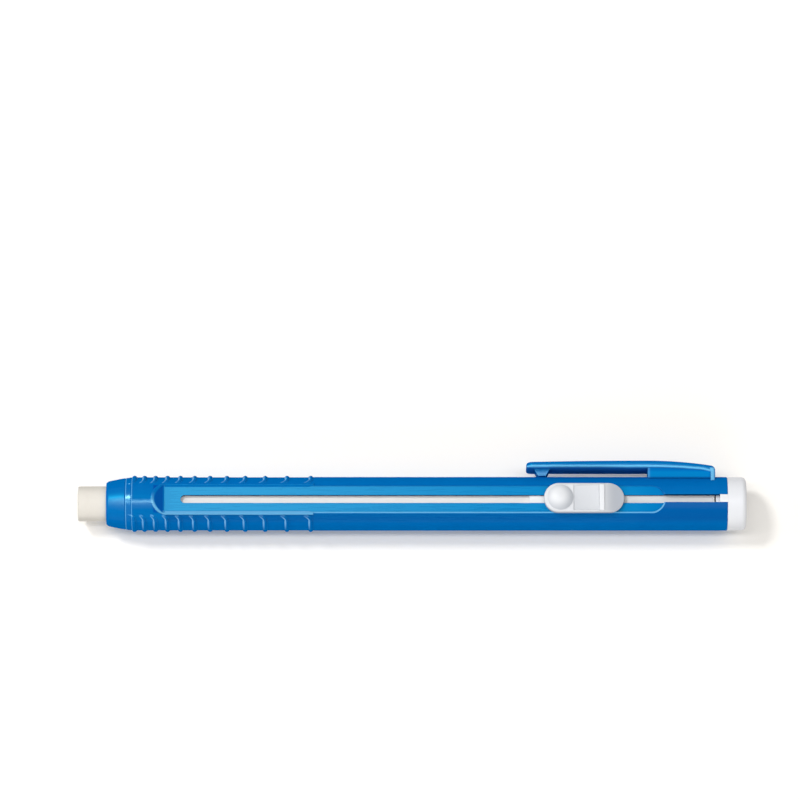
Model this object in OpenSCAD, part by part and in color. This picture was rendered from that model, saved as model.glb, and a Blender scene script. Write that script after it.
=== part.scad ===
// Slide-action eraser holder with its eraser stick, in millimetres.
// The axis of the barrel is X and the tip face of the eraser is at x = 0.
// The slot and the thumb button are on the +Z side, and the pocket clip is on the +Y side.

/* [Eraser] */
// Diameter of the eraser stick
eraser_d = 6.8; // [6.2:0.1:7.4]
// Length of the eraser stick
eraser_l = 96.5; // [92:0.5:110]
// Length of eraser that stands out of the nose at rest
tip_out = 5.5; // [3:0.5:8]
// Chamfer round the eraser's two ends
eraser_edge = 0.15; // [0.05:0.05:0.5]

/* [Nose] */
// Length of the nose cone ahead of its seam
nose_l = 3.7; // [3:0.1:6]
// Wall of the nose at its front face
nose_wall = 0.77; // [0.5:0.01:1]
// Radial clearance of the eraser in the nose
nose_gap = 0.1; // [0.05:0.01:0.2]
// Length of the spigot that sits inside the barrel
spigot_l = 4; // [3:0.1:4.4]
// Wall of the spigot
spigot_wall = 0.8; // [0.6:0.05:0.9]

/* [Barrel] */
// Wall of the smooth barrel
barrel_wall = 1.27; // [1.2:0.01:1.8]
// Depth of the grip's surface below the smooth barrel
grip_drop = 0.05; // [0.03:0.01:0.2]
// Length of the plain collar between the seam and the ring line
collar_l = 1.2; // [0.8:0.1:2]
// Small bevel at the seams and open edges
edge = 0.1; // [0.05:0.01:0.2]

/* [Grip ribs] */
// Number of ribs
rib_count = 12; // [6:1:14]
// Height of a rib above the grip's surface
rib_h = 0.3; // [0.15:0.05:0.35]
// Width of a rib at the grip's surface
rib_w = 0.92; // [0.7:0.02:1.1]
// Distance from the ring line to the first rib
rib_first = 0.55; // [0.5:0.05:1]
// Distance between the first two ribs
rib_pitch = 1.95; // [1.6:0.05:2.2]
// Growth of that distance from each rib to the next
rib_growth = 1.09; // [1:0.01:1.1]
// Length of smooth grip behind the last rib
grip_tail = 0.6; // [0.6:0.1:2]

/* [Channel and slot] */
// Thickness of the channel's floor above the bore
floor_t = 0.38; // [0.3:0.01:0.6]
// Width of the channel behind the grip
channel_w = 5.14; // [4.6:0.02:5.4]
// Distance from the seam to the front end of the channel's floor
channel_start = 7.7; // [7:0.1:12]
// Length of the sloping front end of the channel
ramp_l = 2.35; // [1.5:0.05:3]
// Width of each sloping side wall of the channel in the grip
bank_w = 0.55; // [0.3:0.05:0.6]
// Width of the raised lip round the channel in the grip
lip_w = 0.3; // [0.2:0.05:0.4]
// Height of that lip above the grip's surface
lip_h = 0.25; // [0.1:0.05:0.3]
// Width of the slot
slot_w = 1.56; // [1.4:0.02:2]
// Distance from the front end of the channel's floor to the slot
slot_start = 3.1; // [2:0.1:5]
// Length of channel behind the thumb button at rest
channel_run = 7.85; // [6:0.1:9]

/* [Carriage and thumb button] */
// Wall of the carriage's cup
cup_wall = 0.42; // [0.35:0.01:0.6]
// Clearance between the eraser and the cup
cup_gap = 0.05; // [0.02:0.01:0.08]
// Radial running clearance of the carriage in the bore
run_gap = 0.08; // [0.04:0.01:0.1]
// Depth of the cup
cup_l = 8.9; // [7:0.1:12]
// Thickness of the cup's floor
web_t = 1.5; // [1:0.1:3]
// Length of the carriage's tail behind the cup's floor
tail_l = 25.5; // [22:0.5:30]
// Wall of the carriage's tail
tail_wall = 0.9; // [0.6:0.1:1.4]
// Width of the slits between the cup's jaws
slit_w = 1; // [0.6:0.1:1.6]
// Length of the jaws
jaw_l = 6; // [4:0.1:6.5]
// Side clearance of the stem in the slot
slot_gap = 0.08; // [0.05:0.01:0.1]
// Gap between the carriage and the end plug at rest
rest_gap = 0.25; // [0.1:0.05:0.5]
// Length of the thumb button
button_l = 15.55; // [14:0.1:17]
// Width of the thumb button
button_w = 5.76; // [5.4:0.02:6]
// Distance from the cup's mouth to the button's front end
button_start = 2.8; // [2:0.1:4]
// Thickness of the button's plate
button_t = 1.25; // [1:0.05:1.6]
// Clearance under the button
button_gap = 0.1; // [0.05:0.01:0.2]
// Radius of the dome at its foot
dome_r = 2.5; // [2:0.05:2.55]
// Height of the dome
dome_h = 0.95; // [0.6:0.05:1.3]
// Width of the crossbar
bar_w = 1; // [0.6:0.1:1.5]
// Height of the crossbar above the plate
bar_h = 0.35; // [0.2:0.05:0.6]
// Distance from the button's front end to the crossbar
bar_start = 10.7; // [10:0.1:11.5]
// Thickness of the button at its rear end, where the ramp behind the crossbar runs out
ramp_end_t = 0.4; // [0.3:0.05:0.7]
// Length of the hollow between the dome and the crossbar
hollow_l = 4.9; // [4:0.1:5.2]

/* [Pocket clip] */
// Length of the free arm
arm_l = 23.5; // [18:0.5:30]
// Width of the clip
clip_w = 7; // [6:0.1:7.4]
// Thickness of the clip at its thickest
clip_t = 1.26; // [1:0.02:1.5]
// Thickness of the clip at its rear end
clip_end_t = 0.95; // [0.8:0.05:1.2]
// Thickness of the wall that turns down at the clip's rear end
heel_t = 0.9; // [0.6:0.05:1.2]
// Gap between the barrel and the arm
clip_gap = 1.44; // [1.1:0.02:2]
// Length of the clip's fixed base
base_l = 13.2; // [10:0.1:15]
// Distance from the base to the rear edge of the barrel
clip_back = 2.3; // [1:0.1:4]
// Drop of the clip's outer face towards the rear end
rear_fall = 1.1; // [0.5:0.05:1.1]
// Drop of the clip's outer face towards the front end
front_fall = 0.27; // [0.1:0.01:0.3]
// Overhang of the base past each side of its boss
overhang = 0.6; // [0.3:0.05:1]
// Distance from the arm's front end to the pip
pip_start = 1.3; // [1:0.1:3]
// Length of the pip at its root
pip_l = 3.5; // [2.5:0.1:4]
// Length of the pip at its foot
pip_foot_l = 1.6; // [1:0.1:2]
// Width of the pip
pip_w = 3.4; // [2:0.1:5]
// Gap between the pip and the barrel
pip_gap = 0.06; // [0.02:0.01:0.2]

/* [End cap] */
// Length of the cap behind the barrel
cap_l = 3.9; // [3:0.1:8]
// Step from the barrel in to the cap
cap_step = 0.04; // [0:0.01:0.3]
// Radius of the cap's rounded rear edge
cap_round = 0.95; // [0.4:0.05:1.4]
// Rise of the cap's end face
cap_crown = 0.2; // [0.1:0.05:0.5]
// Length of the plug inside the barrel
plug_l = 2.3; // [1.8:0.1:4]
// Length of the key that closes the slot
key_l = 1.5; // [1:0.1:1.8]
// Radial clearance of the fixed fits
fit_gap = 0.02; // [0.01:0.01:0.04]

/* [Hidden] */
$fn = 96;

// Radii, from the eraser outwards
eraser_r = eraser_d / 2;
cup_r = eraser_r + cup_gap + cup_wall;
bore_r = cup_r + run_gap;
barrel_r = bore_r + barrel_wall;
grip_r = barrel_r - grip_drop;
lip_r = grip_r + lip_h;
nose_bore_r = eraser_r + nose_gap;
nose_front_r = nose_bore_r + nose_wall;
spigot_r = nose_bore_r + spigot_wall;
plug_r = bore_r - fit_gap;
cap_r = barrel_r - cap_step;

// Places along X, from the tip to the rear
seam_x = tip_out + nose_l;
ring_x = seam_x + collar_l;
floor_x = seam_x + channel_start;
slot_x = floor_x + slot_start;
web_x = eraser_l + cup_gap;
mouth_x = web_x - cup_l;
tail_x = web_x + web_t + tail_l;
plug_x = tail_x + rest_gap;
barrel_end = plug_x + plug_l;
cap_end = barrel_end + cap_l;
button_x = mouth_x + button_start;
channel_end = button_x + button_l + channel_run;
clip_end = barrel_end - clip_back;
hinge_x = clip_end - base_l;
arm_x = hinge_x - arm_l;

// Ribs: each gap is the one before it times the growth
rib_r = (pow(rib_w / 2, 2) + rib_h * rib_h) / (2 * rib_h);
rib_track = grip_r + rib_h - rib_r;
function rib_gap(i) = rib_pitch * pow(rib_growth, i);
function rib_x(i) = ring_x + rib_first + (i == 0 ? 0 : sum_gaps(i - 1));
function sum_gaps(i) = rib_gap(i) + (i == 0 ? 0 : sum_gaps(i - 1));
grip_end = rib_x(rib_count - 1) + grip_tail;

// Heights above the axis on the slot's side
floor_z = bore_r + floor_t;
channel_half = channel_w / 2;
bank_half = channel_half - 0.5 * bank_w;
lip_half = bank_half + bank_w;
lip_z = sqrt(lip_r * lip_r - lip_half * lip_half);
button_z = max(lip_z, sqrt(barrel_r * barrel_r - channel_half * channel_half)) + button_gap;
button_top = button_z + button_t;
button_r = button_w / 2;
button_end = button_x + button_l;

// Hooks at the ends of each rib, as angles from +Z
hook_end = asin((lip_half + lip_w) / grip_r) + 1;
hook_turn = 12;
hook_start = hook_end + hook_turn;
hook_base = 0.8;
ramp_inset = 0.08;
hook_share = 0.2;
hook_steps = 6;
hook_lap = 2;
hook_fit = 0.95;

// Heights above the axis on the clip's side
clip_under = barrel_r + clip_gap;
clip_top = clip_under + clip_t;
clip_half = clip_w / 2;
hinge_gap = 0.05;
clip_round = 0.42;
heel_round = 0.8;
boss_half = clip_half - overhang;
pip_foot = barrel_r + pip_gap;

// Button and stem
bar_x = button_x + bar_start;
bar_end = bar_x + bar_w;
ramp_angle = atan((button_t + bar_h - ramp_end_t) / (button_end - bar_end));
bar_inset = 0.2;
hollow_depth = 0.15;
rim_w = 0.42;
button_round = 0.25;
stem_half = slot_w / 2 - slot_gap;
stem_start = 0.9;
stem_rise = 0.7;
stem_root = cup_r - cup_wall;
dome_shift = 0.3;
dome_sink = 0.1;

// Depth of the line round the collar, and the length by which cuts run past a face
ring_depth = 0.07;
over = 1;

// Turns points written as [radius, x] round the X axis
module turn_x(points) rotate([0, 90, 0]) rotate_extrude() polygon(points);

// A straight rod along X
module rod(r, from, to) translate([from, 0, 0]) rotate([0, 90, 0]) cylinder(r = r, h = to - from);

// A plate with an outline in X and Z, centred on Y
module side_plate(points, width) rotate([90, 0, 0]) linear_extrude(width, center = true) polygon(points);

// A strip with round ends in X and Y
module strip(from, to, width) {
  translate([from + width / 2, 0]) circle(d = width);
  translate([to - width / 2, 0]) circle(d = width);
  translate([from + width / 2, -width / 2]) square([to - from - width, width]);
}

// Solid through a list of rings that have the same number of points
module loft(rings) {
  m = len(rings[0]);
  n = len(rings);
  points = [for (ring = rings) for (p = ring) p];
  walls = [for (i = [0 : n - 2]) for (k = [0 : m - 1])
    let (a = i * m + k, b = i * m + (k + 1) % m)
    each [[a, b, b + m], [a, b + m, a + m]]];
  front = [for (k = [m - 1 : -1 : 0]) k];
  back = [for (k = [0 : m - 1]) (n - 1) * m + k];
  polyhedron(points, concat([front], walls, [back]));
}

// Barrel: turned shell, ribbed grip, lipped channel, slot and clip boss

barrel_shape = [
  [spigot_r + fit_gap, seam_x], [nose_seam_r() - edge, seam_x], [nose_seam_r(), seam_x + edge],
  [collar_r(), ring_x - edge], [collar_r() - ring_depth, ring_x], [grip_r, ring_x + edge],
  [grip_r, grip_end - edge], [barrel_r, grip_end + edge],
  [barrel_r, barrel_end - edge], [barrel_r - edge, barrel_end], [bore_r, barrel_end],
  [bore_r, seam_x + spigot_l + edge], [spigot_r + fit_gap, seam_x + spigot_l + edge]];

// The nose and the collar lie on one cone that ends at the ring line
function cone_r(x) = nose_front_r + (grip_r - nose_front_r) * cone_bulge((x - tip_out) / (ring_x - tip_out));
function cone_bulge(s) = s * (1.3 - 0.3 * s);
function nose_seam_r() = cone_r(seam_x);
function collar_r() = cone_r(ring_x - edge);

// Point on the grip at an angle from +Z, and the outward direction there
function on_grip(x, r, a) = [x, r * sin(a), r * cos(a)];
function outward(a) = [0, sin(a), cos(a)];
function unit(v) = v / norm(v);

// Section of a rib: a round crest on a straight foot, as angles from the outward direction
rib_section = [for (a = [-80 : 32 : 80]) a];
function rib_ring(centre, normal, side) = concat(
  [for (a = rib_section) centre + rib_r * hook_fit * (cos(a) * normal + sin(a) * side)],
  [centre + rib_r * (-0.5 * normal + 0.9 * side), centre + rib_r * (-0.5 * normal - 0.9 * side)]);

// A hook turns from round the barrel to along it, towards the tip, and sinks away
function hook_ring(x, length, t) =
  let (a = hook_start - hook_turn * sin(t),
       r = rib_track - rib_h * pow(t / 90, 2),
       along = [-length * sin(t), -r * cos(a) * hook_turn * PI / 180 * cos(t),
                r * sin(a) * hook_turn * PI / 180 * cos(t)])
  rib_ring(on_grip(x - length * (1 - cos(t)), r, a), outward(a), cross(unit(along), outward(a)));
function hook_root(x) =
  let (a = hook_start + hook_lap)
  rib_ring(on_grip(x, rib_track, a), outward(a), cross([0, -cos(a), sin(a)], outward(a)));

module rib(i) {
  arc = 360 - 2 * hook_start - hook_lap;
  hook_l = hook_base + hook_share * rib_gap(i);
  translate([rib_x(i), 0, 0]) rotate([0, 90, 0]) rotate([0, 0, -arc / 2])
    rotate_extrude(angle = arc) translate([rib_track, 0]) circle(rib_r, $fn = 32);
  for (side = [0, 1]) mirror([0, side, 0])
    loft(concat([hook_root(rib_x(i))],
                [for (k = [0 : hook_steps]) hook_ring(rib_x(i), hook_l, 90 * k / hook_steps)]));
}

module lip() {
  half = lip_half + lip_w;
  front = floor_x - ramp_l - lip_w;
  intersection() {
    rod(lip_r, front - over, grip_end);
    linear_extrude(lip_r + over) {
      translate([front + half, 0]) circle(half);
      translate([front + half, -half]) square([grip_end - front - half, 2 * half]);
    }
  }
}

module channel() {
  rise = lip_r - floor_z;
  high = barrel_r + over;
  bank = [[-lip_half - bank_w, floor_z + 2 * bank_rise()], [-bank_half, floor_z],
          [bank_half, floor_z], [lip_half + bank_w, floor_z + 2 * bank_rise()],
          [lip_half + bank_w, high], [-lip_half - bank_w, high]];
  translate([floor_x, 0, 0]) rotate([90, 0, 90]) linear_extrude(grip_end - floor_x) polygon(bank);
  side_plate([[floor_x + 0.01, floor_z], [floor_x, floor_z],
              [floor_x - 1.5 * ramp_l, floor_z + 1.5 * rise],
              [floor_x + 0.01, floor_z + 1.5 * rise]], 2 * (lip_half - ramp_inset));
  translate([0, 0, floor_z]) linear_extrude(high)
    strip(grip_end - channel_w / 2, channel_end, channel_w);
}
function bank_rise() = lip_z - floor_z;

// Boss that carries the clip, with a top that follows the clip's underside
module clip_boss() {
  front = hinge_x + edge;
  length = base_l - edge - heel_t - fit_gap;
  root = bore_r + barrel_wall / 2;
  top = [for (k = [0 : 6]) let (x = front + length * k / 6) [x, clip_low(x) - fit_gap]];
  linear_extrude(2 * boss_half, center = true)
    polygon(concat([[front + length, root], [front, root]], top));
}

module barrel() {
  color([0.02, 0.42, 0.75])
  difference() {
    union() {
      turn_x(barrel_shape);
      for (i = [0 : rib_count - 1]) rib(i);
      difference() {
        lip();
        rod(grip_r - lip_h, seam_x, grip_end + over);
      }
      clip_boss();
    }
    channel();
    linear_extrude(barrel_r + over) {
      translate([slot_x + slot_w / 2, 0]) circle(d = slot_w);
      translate([slot_x + slot_w / 2, -slot_w / 2])
        square([barrel_end - slot_x, slot_w]);
    }
  }
}

// Nose cone: short cone whose spigot sits in the barrel and guides the eraser

nose_steps = 8;
nose_shape = concat(
  [[nose_bore_r, tip_out + 2 * edge], [nose_bore_r + 2 * edge, tip_out]],
  [[nose_front_r - 2 * edge, tip_out]],
  [for (k = [1 : nose_steps]) let (x = tip_out + (nose_l - edge) * k / nose_steps) [cone_r(x), x]],
  [[nose_seam_r() - edge, seam_x], [spigot_r, seam_x],
   [spigot_r, seam_x + spigot_l - edge], [spigot_r - edge, seam_x + spigot_l],
   [nose_bore_r, seam_x + spigot_l]]);

module nose_cone() color([0.04, 0.46, 0.78]) turn_x(nose_shape);

// End cap: domed cap with a plug in the bore and a key in the slot

cap_steps = 6;
cap_shape = concat(
  [[0, plug_x], [plug_r - edge, plug_x], [plug_r, plug_x + edge], [plug_r, barrel_end],
   [cap_r - edge, barrel_end], [cap_r, barrel_end + edge]],
  [for (k = [0 : cap_steps]) let (a = 90 * k / cap_steps)
    [cap_r - cap_round * (1 - cos(a)), cap_end - cap_crown - cap_round * (1 - sin(a))]],
  [[0, cap_end]]);

module end_cap() {
  color([0.88, 0.9, 0.94]) {
    turn_x(cap_shape);
    intersection() {
      rod(barrel_r - fit_gap, barrel_end - key_l, barrel_end + edge);
      translate([barrel_end - key_l, -slot_w / 2 + fit_gap, plug_r / 2])
        cube([key_l + edge, slot_w - 2 * fit_gap, barrel_r]);
    }
  }
}

// Pocket clip: one moulding, with a fixed base on the boss and a free arm that flexes at the base

function clip_outer(x) = x > hinge_x
  ? clip_top - rear_fall * pow((x - hinge_x) / base_l, 2)
  : clip_top - front_fall * pow((hinge_x - x) / arm_l, 2);
function clip_low(x) = x > hinge_x
  ? clip_under - (rear_fall - clip_t + clip_end_t) * pow((x - hinge_x) / base_l, 2)
  : clip_under;

// Rounded section of the clip, drawn in from its full size by an inset at an end
function clip_ring(x, inset_y = 0, inset_z = 0) =
  let (high = clip_outer(x) - inset_y, foot = clip_low(x) + inset_y, half = clip_half - inset_z,
       r = clip_round * (1 - inset_y / clip_t))
  concat(
    [for (a = [0 : 30 : 90]) [x, high - r * (1 - sin(a)), half - r * (1 - cos(a))]],
    [for (a = [0 : 30 : 90]) [x, high - r * (1 - cos(a)), -half + r * (1 - sin(a))]],
    [[x, foot + r / 2, -half], [x, foot, -half + r / 2],
     [x, foot, half - r / 2], [x, foot + r / 2, half]]);

// The arm's front end is round in plan, and less so in height
arm_nose_l = 0.6;
arm_nose_y = 0.38;
arm_nose_z = 1;
function nose_ring(a) =
  clip_ring(arm_x + arm_nose_l * (1 - sin(a)), arm_nose_y * (1 - sin(a)), arm_nose_z * (1 - cos(90 - a)));

module clip_arm() {
  body_l = arm_l - arm_nose_l - hinge_gap;
  pip_x = arm_x + pip_start;
  pip_side = (pip_l - pip_foot_l) / 2;
  color([0.03, 0.44, 0.76]) {
    loft(concat([for (a = [0 : 22.5 : 90]) nose_ring(a)],
                [for (k = [1 : 6]) clip_ring(arm_x + arm_nose_l + body_l * k / 6)]));
    linear_extrude(pip_w, center = true)
      polygon([[pip_x, clip_under + clip_round], [pip_x, clip_under],
               [pip_x + pip_side, pip_foot], [pip_x + pip_side + pip_foot_l, pip_foot],
               [pip_x + pip_l, clip_under], [pip_x + pip_l, clip_under + clip_round]]);
  }
}

module clip_base() {
  high = clip_outer(clip_end);
  corner = [for (a = [0 : 15 : 90])
    [clip_end - heel_round * (1 - cos(a)), high - heel_round * (1 - sin(a))]];
  color([0.03, 0.44, 0.76])
  intersection() {
    union() {
      loft([for (k = [0 : 6]) clip_ring(hinge_x + base_l * k / 6)]);
      difference() {
        translate([clip_end - heel_t, 0, -clip_half])
          cube([heel_t, high - clip_round, clip_w]);
        rod(barrel_r + fit_gap, hinge_x, barrel_end);
      }
    }
    linear_extrude(clip_w + over, center = true)
      polygon(concat([[hinge_x - over, 0], [clip_end, 0]], corner, [[hinge_x - over, high + over]]));
  }
}

// Carriage: cup with two jaws, floor, hollow tail and the stem that stands in the slot

module eraser_carriage() {
  color([0.86, 0.87, 0.88])
  difference() {
    union() {
      rod(cup_r, mouth_x, tail_x);
      translate([button_x + stem_start, -stem_half, stem_root])
        cube([bar_end - button_x - stem_start, 2 * stem_half, button_z + stem_rise - stem_root]);
    }
    rod(eraser_r + cup_gap, mouth_x - over, web_x);
    rod(cup_r - tail_wall, web_x + web_t, tail_x + over);
    translate([mouth_x - over, -cup_r - over, -slit_w / 2])
      cube([jaw_l + over, 2 * (cup_r + over), slit_w]);
  }
}

// Thumb button: round-ended plate with a dome, a hollow between two rims, a crossbar and a ramp

module button_end(x, r, low, high) {
  rise = [for (a = [0 : 30 : 90]) [r - button_round * (1 - cos(a)), high - button_round * (1 - sin(a))]];
  translate([x, 0, button_z]) rotate_extrude($fn = 48)
    polygon(concat([[0, low], [r, low]], rise, [[0, high]]));
}

module button_plate(from, r, low, high) {
  hull() {
    button_end(from, r, low, high);
    button_end(button_end - button_r, r, low, high);
  }
}

module dome() {
  ball_r = (dome_r * dome_r + dome_h * dome_h) / (2 * dome_h);
  translate([button_x + button_r + dome_shift, 0, button_top])
  intersection() {
    translate([0, 0, dome_h - ball_r]) sphere(ball_r);
    translate([0, 0, -dome_sink]) cylinder(r = dome_r + over, h = dome_h + over);
  }
}

module thumb_button() {
  color([0.95, 0.95, 0.96])
  difference() {
    union() {
      button_plate(button_x + button_r, button_r, 0, button_t);
      dome();
      difference() {
        button_plate(bar_x, button_r - bar_inset, button_t / 2, button_t + bar_h);
        translate([bar_x - button_w, -button_r - over, button_z - over])
          cube([button_w, button_w + 2 * over, button_t + bar_h + 2 * over]);
      }
    }
    translate([bar_x - hollow_l, -button_r + rim_w, button_top - hollow_depth])
      cube([hollow_l, 2 * (button_r - rim_w), bar_h]);
    translate([bar_end, -button_r - over, button_top + bar_h]) rotate([0, ramp_angle, 0])
      cube([button_l, button_w + 2 * over, button_t]);
    translate([button_x + stem_start - fit_gap, -stem_half - fit_gap, button_z - over])
      cube([bar_end - button_x - stem_start + 2 * fit_gap, 2 * (stem_half + fit_gap),
            stem_rise + over + fit_gap]);
  }
}

// Eraser stick: plain round stick with softly broken edges

eraser_shape = [
  [0, 0], [eraser_r - eraser_edge, 0], [eraser_r, eraser_edge],
  [eraser_r, eraser_l - eraser_edge], [eraser_r - eraser_edge, eraser_l], [0, eraser_l]];

module eraser_stick() color([0.93, 0.9, 0.86]) turn_x(eraser_shape);

barrel();
nose_cone();
end_cap();
clip_base();
clip_arm();
eraser_carriage();
thumb_button();
eraser_stick();
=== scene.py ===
import math

import bpy
import bmesh
from mathutils import Matrix, Vector


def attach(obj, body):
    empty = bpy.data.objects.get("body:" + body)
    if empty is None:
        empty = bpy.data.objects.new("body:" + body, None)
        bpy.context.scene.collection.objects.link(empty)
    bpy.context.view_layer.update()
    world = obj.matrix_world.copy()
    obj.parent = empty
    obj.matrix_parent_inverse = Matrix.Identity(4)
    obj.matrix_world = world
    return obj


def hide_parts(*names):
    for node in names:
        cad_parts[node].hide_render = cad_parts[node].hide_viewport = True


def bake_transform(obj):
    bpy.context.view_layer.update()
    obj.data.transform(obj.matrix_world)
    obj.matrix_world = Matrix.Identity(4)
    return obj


# Slide-action eraser holder. The barrel lies along X with the eraser's tip at x = 0,
# the slot and thumb button face +Z, and the pocket clip stands out towards +Y.
# Measures are in mm where nothing else is said, and MM turns them into metres.

MM = 0.001

# Camera: straight above, rolled a little about the barrel so the clip shows its near side

ROLL = math.radians(13.4)
UP = Vector((0, math.cos(ROLL), math.sin(ROLL)))
BACK = Vector((0, -math.sin(ROLL), math.cos(ROLL)))
AIM = Vector((62.55, 0, 0)) * MM + UP * 20.2 * MM
CAMERA_AWAY_M = 1.4
PICTURE_PIXELS, PIXEL_M = 800, 0.1945 * MM
SENSOR = 36

# Barrel

BARREL_R = 5.22
# the lines where painted highlights run round the seam and the ring
SEAM_LINE, RING_LINE = (9.28, 9.42), (10.46, 10.58)
GRIP_FRONT, GRIP_REAR = 10.9, 46.4
SLOPE_FRONT, SLOPE_REAR = 14.7, 16.6
LIP_FRONT, LIP_REAR, LIP_HALF = 14.0, 45.7, 3.12
FLOOR_Z, FLOOR_HALF = 4.33, 2.6
# the band along the channel's edge that gets a painted highlight
RIM_INNER, RIM_OUTER = 2.45, 2.88
CHANNEL_REAR = 111.28
SLOT_HALF = 0.84
BOSS_FRONT = 110.0
# stretches along the barrel over which its painted floor highlight fades or its gloss changes
FLOOR_DARKENS, FRONT_DULLS, RINGS_TINT = (20, 105), (16, 20), (10.3, 11.0)
REAR_DULLS, REAR_GLOSS_FADES = (105, 112), (104, 112)
PAST_REAR = 130

# Pocket clip

CLIP_FRONT, CLIP_HINGE, CLIP_REAR = 87.1, 110.6, 123.8
CLIP_UNDER, CLIP_MIDDLE, CLIP_TOP, CLIP_HALF = 6.66, 7.25, 7.92, 3.5
CLIP_CORNER, CLIP_BEND = 1.2, 0.8
CLIP_TOP_ROUND, CLIP_UNDER_ROUND = 0.46, 0.34
FRONT_DROP, REAR_DROP, REAR_UNDER_DROP = 0.27, 1.1, 0.79
CURVE_START, CURVE_STEP, CURVE_CUTS = 1.4, 1.1, 31
HEEL_T, HEEL_LOW, HEEL_HIGH, HEEL_INSET, HEEL_ROUND = 0.9, 3.9, 5.9, 0.02, 0.3
PIP_TOP_FRONT, PIP_TOP_REAR, PIP_SLANT, PIP_FOOT, PIP_HALF = 88.4, 91.9, 0.95, 5.28, 1.7
PIP_ROOT, PIP_ROUND = 0.3, 0.22
LIT_STRIP = (2.2, 2.9)

# Thumb button

BUTTON_FRONT, BUTTON_REAR, BUTTON_HALF = 90.45, 106.0, 2.88
BUTTON_UNDER, BUTTON_TOP, BUTTON_ROUND = 4.713, 5.963, 0.36
DOME_X, DOME_R, DOME_H, DOME_SINK = 93.63, 2.55, 0.95, 0.12
DOME_CREST_X, DOME_CREST_Y = 93.25, 0.35
# where the button gets painted shade: round the dome's foot and low down
DOME_GREYS, DOME_FOOT_Z, BUTTON_GREYS = (0.9, 3.0), (5.99, 6.05), (6.35, 5.0)
HOLLOW_FRONT, HOLLOW_RIM, HOLLOW_DEPTH, HOLLOW_ROUND = 96.2, 0.42, 0.16, 0.14
BAR_FRONT, BAR_REAR, BAR_H = 101.15, 102.15, 0.35
BAR_INSET, BAR_ROOT, BAR_ROUND = 0.2, 0.7, 0.3
RAMP_START_Z, RAMP_END_Z, RAMP_SAG = 6.08, 5.113, 0.26
STEM_FRONT, STEM_REAR, STEM_HALF, STEM_TOP = 91.33, 102.17, 0.72, 5.433
CUT_HALF, CUT_LOW, CUT_HIGH = 4, 4, 8

# Carriage and eraser: where the tail gets painted shade, and where the stick turns clean and
# lighter, the lighter part painted light

TAIL_GREYS, STICK_CLEANS_AND_LIGHTENS = (103.0, 106.0), (6.0, 12.0)

# How near is the same place, and what counts as a sharp edge

SAME_PLACE, NEARBY, WELD = 0.0008, 0.01, 0.003
SHARP = math.radians(50)

# Colours: linear red, green and blue

BLUE_LOW, BLUE_HIGH = (0.0, 0.130, 0.435), (0.0, 0.150, 0.475)
# paler sharp edges: wear, and a painted edge highlight; the scratches are wear
BLUE_WORN_LIT_EDGE, BLUE_SCRATCH = (0.05, 0.29, 0.64), (0.10, 0.32, 0.66)
LIP_SHADE = (0.0, 0.085, 0.34)
# painted highlight on the channel floor, fading towards the rear
FLOOR_LIT_AT_FRONT, FLOOR_LIT_AT_REAR = (0.03, 0.27, 0.575), (0.0, 0.185, 0.505)
# painted shade on the slope and the slot walls, painted highlights on the other places
BARREL_PAINTED_LIGHT_AND_SHADE = {
    "Slope": (0.0, 0.072, 0.365),
    "Boss": (0.0, 0.205, 0.545),
    "Boss Front": (0.22, 0.52, 0.80),
    "Walls": (0.0, 0.05, 0.17),
    "Rim": (0.125, 0.40, 0.695),
    "Ribs": (0.16, 0.42, 0.72),
    "Rings": (0.10, 0.36, 0.68)}
# painted light on the clip's underside, painted highlights on its rounded lower edge and its heel
CLIP_UNDERSIDE_LIGHT, CLIP_EDGE_HIGHLIGHT, CLIP_HEEL_HIGHLIGHT = (0.02, 0.30, 0.76), (0.17, 0.64, 0.98), (0.15, 0.46, 0.78)
GLOSS_TINT, GLOSS_TINT_TURNED = (0.5, 0.95, 1.0), (0.03, 0.75, 1.0)
CAP_HIGH, CAP_LOW = (0.83, 0.845, 0.88), (0.79, 0.805, 0.85)
BUTTON_HIGH, BUTTON_LOW = (0.785, 0.802, 0.83), (0.76, 0.777, 0.81)
CARRIAGE_HIGH, CARRIAGE_LOW = (0.92, 0.93, 0.945), (0.88, 0.89, 0.905)
WORN_LOW, WORN_HIGH = (0.72, 0.686, 0.625), (0.77, 0.735, 0.675)
# inside the barrel the stick is cleaner, and lighter as painted light against the slot's shade
CLEAN_AND_LIT_LOW, CLEAN_AND_LIT_HIGH = (0.875, 0.858, 0.842), (0.905, 0.888, 0.872)
# rubbed grey at the tip, and painted shade towards the stick's outline
RUBBED, VINYL_OUTLINE_SHADE = (0.62, 0.60, 0.57), (0.52, 0.50, 0.46)
BENCH, ROOM, WHITE = (0.95, 0.925, 0.885, 1), (1, 0.985, 0.955, 1), (1, 1, 1, 1)
# shares of a white's red, green and blue where it is greyer: scratched, and painted shade towards
# the outline, low on the button and on the tail
SCRATCHED, TURNED = (0.86, 0.86, 0.86), (0.6, 0.62, 0.65)
BUTTON_GREY, TAIL_GREY = (0.56, 0.585, 0.63), (0.58, 0.59, 0.60)

# Surfaces: the middle range of a noise, paler edges (wear and a painted edge highlight), scratches,
# painted shade under the lip and at the dome's foot, and where gloss is gone

NOISE_RANGE = (0.3, 0.7)
EDGE_PALER, SCRATCH_PALER, SCRATCH_DULLER, SCRATCH_DEPTH = 0.45, 0.2, 0.12, 0.6
WHITE_SCRATCH, LIP_DARKER, DOME_FOOT_SHADE = 0.3, 0.8, 0.7
GLOSS_GONE = 0.32
HAIR_DIRECTIONS = ((0.5, (0.35, 9, 9)), (-0.9, (0.5, 12, 12)))


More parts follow.
